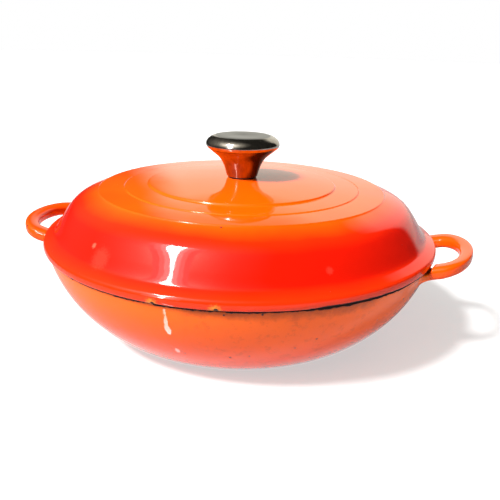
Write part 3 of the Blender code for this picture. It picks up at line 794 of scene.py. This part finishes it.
def pot_enamel():
    """Orange deepening towards the foot, with painted shade on the handles, a brown stain and specks in
    front, and grime with painted shade along the seam.
    """
    finish = Finish("pot_enamel")
    z, radius = finish.axes()["Z"], finish.radius()
    height = finish.maths("DIVIDE", z, SEAM_Z)
    wander = finish.maths("MULTIPLY_ADD", finish.noise(15, 3), 0.16, finish.maths("SUBTRACT", height, 0.08))
    colour = finish.ramp(wander, POT_COLOURS)
    # Painted shade: a deeper orange on the handles
    on_handle_shade = finish.span(radius, *HANDLE_SHADE_FADE)
    colour = finish.mix(on_handle_shade, colour, HANDLE_SHADE_ORANGE)
    front = finish.near(rim_spot(STAIN_AZIMUTH, POT_RIM_RADIUS, 0.0), STAIN_REACH, 0.1)
    run = finish.maths("MULTIPLY_ADD", finish.noise(30, 5, 0.7), STAIN_RAGGED, SEAM_Z - STAIN_DEPTH)
    stain = finish.span(finish.maths("SUBTRACT", z, run), 0.0, STAIN_FADE)
    strength = finish.maths("MULTIPLY_ADD", front, STAIN_FRONT, STAIN_ELSEWHERE)
    stain = finish.maths("MULTIPLY", stain, strength)
    colour = finish.mix(stain, colour, STAIN)
    mottle = finish.maths("MULTIPLY", finish.span(finish.noise(130, 5, 0.75), 0.50, 0.66), front)
    colour = finish.mix(finish.maths("MULTIPLY", mottle, MOTTLE_STRENGTH), colour, MOTTLE)
    dots = specks(finish, (88, 0.095), finish.span(finish.noise(14), 0.47, 0.55), (POT_SPOT,))
    colour = finish.mix(dots, colour, POT_SPECK)
    on_wall = finish.span(radius, *GRIME_SHADE_EDGE)
    # Painted shade: grime along the seam, in the crease under the lid's rim
    grime_shade = finish.maths("MULTIPLY", seam_grime_shade(finish, z, POT_RIM_RADIUS, *POT_GRIME_SHADE), on_wall)
    colour = finish.mix(grime_shade, colour, SOOT_AND_SHADE)
    return gloss(finish.set(Base_Color=colour), finish.maths("MAXIMUM", grime_shade, dots)).material


def cream_enamel():
    finish = Finish("cream_enamel")
    tint = finish.mix(finish.span(finish.noise(20, 4), 0.35, 0.75), CREAM_LIGHT, CREAM_DARK)
    return gloss(finish.set(Base_Color=tint)).material


def ground_rim():
    finish = Finish("ground_rim")
    grain = finish.noise(700, 3, 0.6)
    colour = finish.mix(finish.span(grain, 0.4, 0.7), IRON, IRON_GRAIN)
    finish.set(Base_Color=colour, Roughness=0.7, Specular_IOR_Level=0.2)
    finish.set(Normal=finish.bump(grain, 0.3, 0.1 * MM))
    return finish.material


def polished_steel(name, colour, shine):
    """Steel with upright streaks of dull grey, and smudges that blur its mirror."""
    finish = Finish(name)
    x, y, z = finish.axes()
    upright = finish.node("ShaderNodeCombineXYZ", X=x, Y=y, Z=finish.maths("MULTIPLY", z, 0.15))
    streaks = finish.span(finish.noise(260, 4, 0.7, upright.outputs[0]), 0.35, 0.75)
    dull = tuple(0.6 * part for part in colour)
    finish.set(Base_Color=finish.mix(streaks, colour, dull), Metallic=1.0,
               Roughness=finish.span(finish.noise(60, 4), 0.3, 0.8, shine, shine + 0.09))
    return finish.material


def brushed_steel():
    """The knob's top: fine turning lines round its axis."""
    finish = Finish("brushed_steel")
    around = finish.node("ShaderNodeCombineXYZ", X=finish.radius(), Y=0.0, Z=0.0)
    lines = finish.noise(2600, 2, 0.7, around.outputs[0])
    rough = finish.maths("MULTIPLY_ADD", finish.noise(55, 3), 0.12, 0.26)
    finish.set(Base_Color=BRUSHED_STEEL, Metallic=1.0, Roughness=rough)
    finish.set(Normal=finish.bump(lines, 0.25, 0.04 * MM))
    return finish.material


def plated_steel():
    finish = Finish("plated_steel")
    grain = finish.noise(500, 3)
    finish.set(Base_Color=finish.mix(grain, PLATE_DARK, PLATE_LIGHT), Metallic=1.0,
               Roughness=finish.span(grain, 0.3, 0.7, 0.28, 0.45))
    return finish.material


def black_washer():
    finish = Finish("black_washer")
    grain = finish.noise(900, 3)
    finish.set(Base_Color=finish.mix(grain, RUBBER_DARK, RUBBER_LIGHT), Roughness=0.5)
    finish.set(Normal=finish.bump(grain, 0.2, 0.05 * MM))
    return finish.material


# Assembly ----------------------------------------------------------------------------------------

def place(piece, body, node, slot):
    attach(piece, body)
    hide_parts(node)


def paint(node, material):
    """Gives a piece that is kept as the frame has it its finish."""
    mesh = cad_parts[node].data
    mesh.materials.clear()
    mesh.materials.append(material)


def assemble():
    cream, rim = cream_enamel(), ground_rim()
    cap_steel = polished_steel("cap_steel", CAP_STEEL, 0.12)
    # Painted shade: darker, redder steel on the stem than on the cap
    shaded_stem_steel = polished_steel("shaded_stem_steel", SHADED_STEM_STEEL, 0.05)
    place(pot([pot_enamel(), cream, rim]), "pot", "pot_body", "pot_enamel")
    place(lid([lid_enamel(), cream, rim]), "lid", "lid", "lid_enamel")
    place(knob_stem([shaded_stem_steel]), "lid", "knob_stem", "knob_steel")
    place(knob_cap([cap_steel, brushed_steel()]), "lid", "knob_cap", "knob_steel")
    plated = plated_steel()
    for node in ("knob_insert", "lid_washer", "spring_washer", "lid_screw"):
        paint(node, plated)
    paint("knob_gasket", black_washer())


# Stage -------------------------------------------------------------------------------------------

def floor():
    """A pale table. What the glaze mirrors of it is dimmer than what is seen of it directly, and ends
    at its left and front edges."""
    bm = bmesh.new()
    bmesh.ops.create_circle(bm, cap_ends=True, segments=96, radius=6.0)
    finish = Finish("floor")
    ray = finish.node("ShaderNodeLightPath").outputs
    x, y, _z = finish.axes()
    left_edge = finish.span(finish.maths("MULTIPLY_ADD", y, TABLE_SLANT, x), *TABLE_LEFT)
    table = finish.maths("MULTIPLY", left_edge, finish.span(y, *TABLE_FRONT))
    mirrored = finish.maths("MULTIPLY", finish.span(finish.radius(), *TABLE_GLOW), table)
    mirrored = finish.maths("MULTIPLY", ray["Is Glossy Ray"], mirrored)
    glazed = finish.mix(table, BEYOND_TABLE, TABLE_IN_GLAZE)
    hue = finish.mix(ray["Is Glossy Ray"], TABLE_LIT, glazed)
    finish.set(Base_Color=finish.mix(ray["Is Camera Ray"], hue, TABLE_SEEN), Roughness=0.9,
               Specular_IOR_Level=0.0, Emission_Color=(1.0, 1.0, 1.0),
               Emission_Strength=finish.maths("MULTIPLY_ADD", ray["Is Camera Ray"], 0.55, mirrored))
    made = add_object("floor", bm, [finish.material])
    made.location.z = -0.2 * MM


def way(azimuth, elevation):
    a, e = math.radians(azimuth), math.radians(elevation)
    return Vector((math.cos(a) * math.cos(e), math.sin(a) * math.cos(e), math.sin(e)))


def window_light(room, azimuth, z):
    """A bright band behind the table, lower to the left and weaker at its right end."""

    def across(angles, *strengths):
        return room.span(azimuth, *(math.radians(angle) for angle in angles), *strengths)

    limit = across(WINDOW_SLOPE, *WINDOW_TOP)
    below = room.maths("SUBTRACT", limit, z)
    below = room.maths("MULTIPLY_ADD", below, WINDOW_SHARPNESS, 0.5, clamp=True)
    window = room.maths("MULTIPLY", across(WINDOW_RIGHT), across(WINDOW_LEFT))
    window = room.maths("MULTIPLY", window, below)
    return room.maths("MULTIPLY", window, across(WINDOW_GAIN, *WINDOW_STRENGTH))


def soft_light(room, z):
    """A glow round the key light that ends at the horizon, and a faint one at the left."""
    key = room.compared("DOT_PRODUCT", way(*KEY_WAY))
    halo = room.maths("DIVIDE", HALO_STRENGTH, room.maths("SUBTRACT", HALO_CORE, key))
    halo = room.maths("MAXIMUM", room.maths("SUBTRACT", halo, HALO_CUT), 0.0)
    halo = room.maths("MULTIPLY", halo, room.span(z, *HORIZON))
    side = room.compared("DOT_PRODUCT", way(*SIDE_WAY))
    return room.maths("ADD", halo, room.span(side, *SIDE_GLOW))


def sky():
    """A dim room with a bright window band behind the table, seen as plain white past the object."""
    world = bpy.data.worlds.new("sky")
    bpy.context.scene.world = world
    world.use_nodes = True
    world.node_tree.nodes.clear()
    room = Nodes(world.node_tree, "Generated")
    x, y, z = room.axes()
    azimuth = room.maths("ARCTAN2", y, x)
    brightest = room.maths("MAXIMUM", window_light(room, azimuth, z), soft_light(room, z))
    strength = room.maths("ADD", brightest, ROOM_DIM)
    lit = room.node("ShaderNodeBackground", Color=ROOM_COLOUR, Strength=strength)
    plain = room.node("ShaderNodeBackground", Color=(1.0, 1.0, 1.0, 1.0))
    mix = room.tree.nodes.new("ShaderNodeMixShader")
    shown = room.node("ShaderNodeLightPath").outputs["Is Camera Ray"]
    for socket, value in zip(mix.inputs, (shown, lit.outputs[0], plain.outputs[0])):
        room.plug(socket, value)
    room.node("ShaderNodeOutputWorld", Surface=mix.outputs[0])


def sun(name, direction, strength, spread):
    """Even light from afar. It doesn't show in the glaze, where the glowing strips do."""
    data = bpy.data.lights.new(name, "SUN")
    data.energy, data.angle = strength, math.radians(spread)
    made = bpy.data.objects.new(name, data)
    bpy.context.scene.collection.objects.link(made)
    made.rotation_euler = way(*direction).to_track_quat("Z", "Y").to_euler()
    made.visible_glossy = False


def glowing(name, rows, brightness):
    """A glowing strip between pairs of points, seen only as a reflection in the glaze."""
    bm = bmesh.new()
    pairs = [[bm.verts.new(point) for point in row] for row in rows]
    for lower, upper in zip(pairs, pairs[1:]):
        bm.faces.new((lower[0], lower[1], upper[1], upper[0]))
    finish = Finish(name)
    light = finish.node("ShaderNodeEmission", Strength=brightness)
    finish.plug(finish.tree.nodes["Material Output"].inputs["Surface"], light.outputs[0])
    made = add_object(name, bm, [finish.material])
    made.visible_camera = made.visible_diffuse = made.visible_shadow = False


def highlight(distance, spread, brightness):
    """The bright lamp itself, or a halo behind it that is wider by a spread."""
    aim = Vector((0, 0, SEAM_Z))
    directions = [way(azimuth, elevation) for azimuth, elevation, _width in LAMP]
    across = directions[-1].cross(directions[0]).normalized()
    rows = []
    for direction, (_azimuth, _elevation, width) in zip(directions, LAMP):
        middle = aim + direction * distance
        rows.append([middle + across * ((width + spread) * distance * half) for half in (-0.5, 0.5)])
    glowing("highlight", rows, brightness)


def table_glint(stations, brightness):
    """The lamp again, mirrored in the table in front."""
    glowing("table_glint", [[((x + width * half) * MM, y * MM, 0.1 * MM) for half in (-0.5, 0.5)]
                            for x, y, width in stations], brightness)


def lights():
    sun("key", KEY_WAY, strength=7.2, spread=12)
    sun("fill", FILL_WAY, strength=0.25, spread=90)
    for ring, (spread, brightness) in enumerate(LAMP_HALOS):
        highlight(LAMP_DISTANCE + HALO_SPACING * ring, spread, brightness)
    for stations, brightness in TABLE_GLINTS:
        table_glint(stations, brightness)


def camera():
    data = bpy.data.cameras.new("camera")
    data.lens = VIEW_LENS
    data.sensor_width = 36.0
    made = bpy.data.objects.new("camera", data)
    bpy.context.scene.collection.objects.link(made)
    cp, sp = math.cos(VIEW_PITCH), math.sin(VIEW_PITCH)
    cy, sy = math.cos(VIEW_YAW), math.sin(VIEW_YAW)
    cr, sr = math.cos(VIEW_ROLL), math.sin(VIEW_ROLL)
    forward = Vector((cp * sy, cp * cy, -sp))
    level = Vector((cy, -sy, 0))
    over = Vector((sp * sy, sp * cy, cp))
    turn = Matrix.Rotation(VIEW_ROUND, 3, "Z")
    columns = (turn @ (cr * level + sr * over), turn @ (cr * over - sr * level), turn @ -forward)
    stand = Matrix.Translation(turn @ Vector((0, -VIEW_BACK, VIEW_HEIGHT)))
    made.matrix_world = stand @ Matrix(columns).transposed().to_4x4()
    bpy.context.scene.camera = made


assemble()
floor()
sky()
lights()
camera()
bpy.context.scene.view_settings.view_transform = "Standard"
